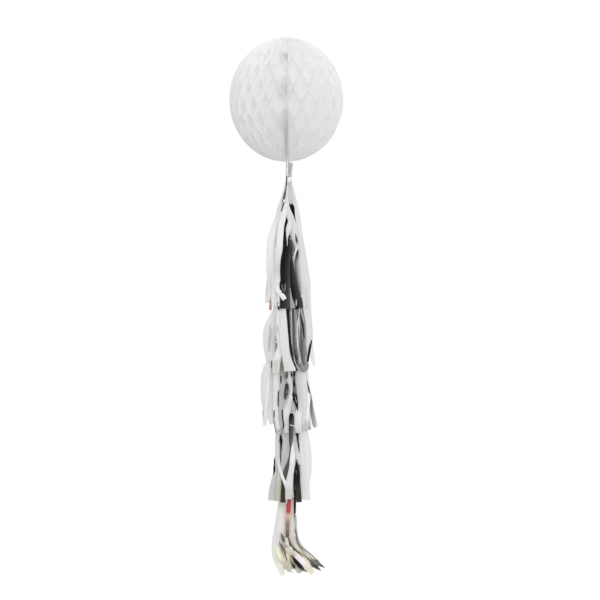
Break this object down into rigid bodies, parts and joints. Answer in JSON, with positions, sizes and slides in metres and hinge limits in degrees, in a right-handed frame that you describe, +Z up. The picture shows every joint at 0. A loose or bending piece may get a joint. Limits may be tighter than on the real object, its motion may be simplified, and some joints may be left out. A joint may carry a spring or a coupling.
{
  "type": "honeycomb tassel decoration",
  "caption": "Hanging party decoration: a tissue honeycomb ball above layered tissue and silver foil fringe tassels, tied one below the other along one cord.",
  "frame": {"origin": "top pole of the honeycomb ball, on the axis of the cord, where the decoration is hung", "axes": "+Z up along the cord; -Y is the front, where the seam of the ball is; +X is to the right of the picture"},
  "size_m": [0.2485, 0.2486, 1.1671],
  "materials": {
    "white_tissue": "matt tissue",
    "silver_foil": "mirror foil",
    "white_twine": "twisted cotton"
  },
  "bodies": {
    "root": {"honeycomb_ball": "white_tissue", "hanging_cord": "white_twine", "tassel_1_tissue": "white_tissue", "tassel_1_foil": "silver_foil", "tassel_2_tissue": "white_tissue", "tassel_2_foil": "silver_foil", "tassel_3_tissue": "white_tissue", "tassel_3_foil": "silver_foil", "tassel_4_tissue": "white_tissue", "tassel_4_foil": "silver_foil", "tassel_5_foil": "silver_foil"}
  },
  "joints": []
}
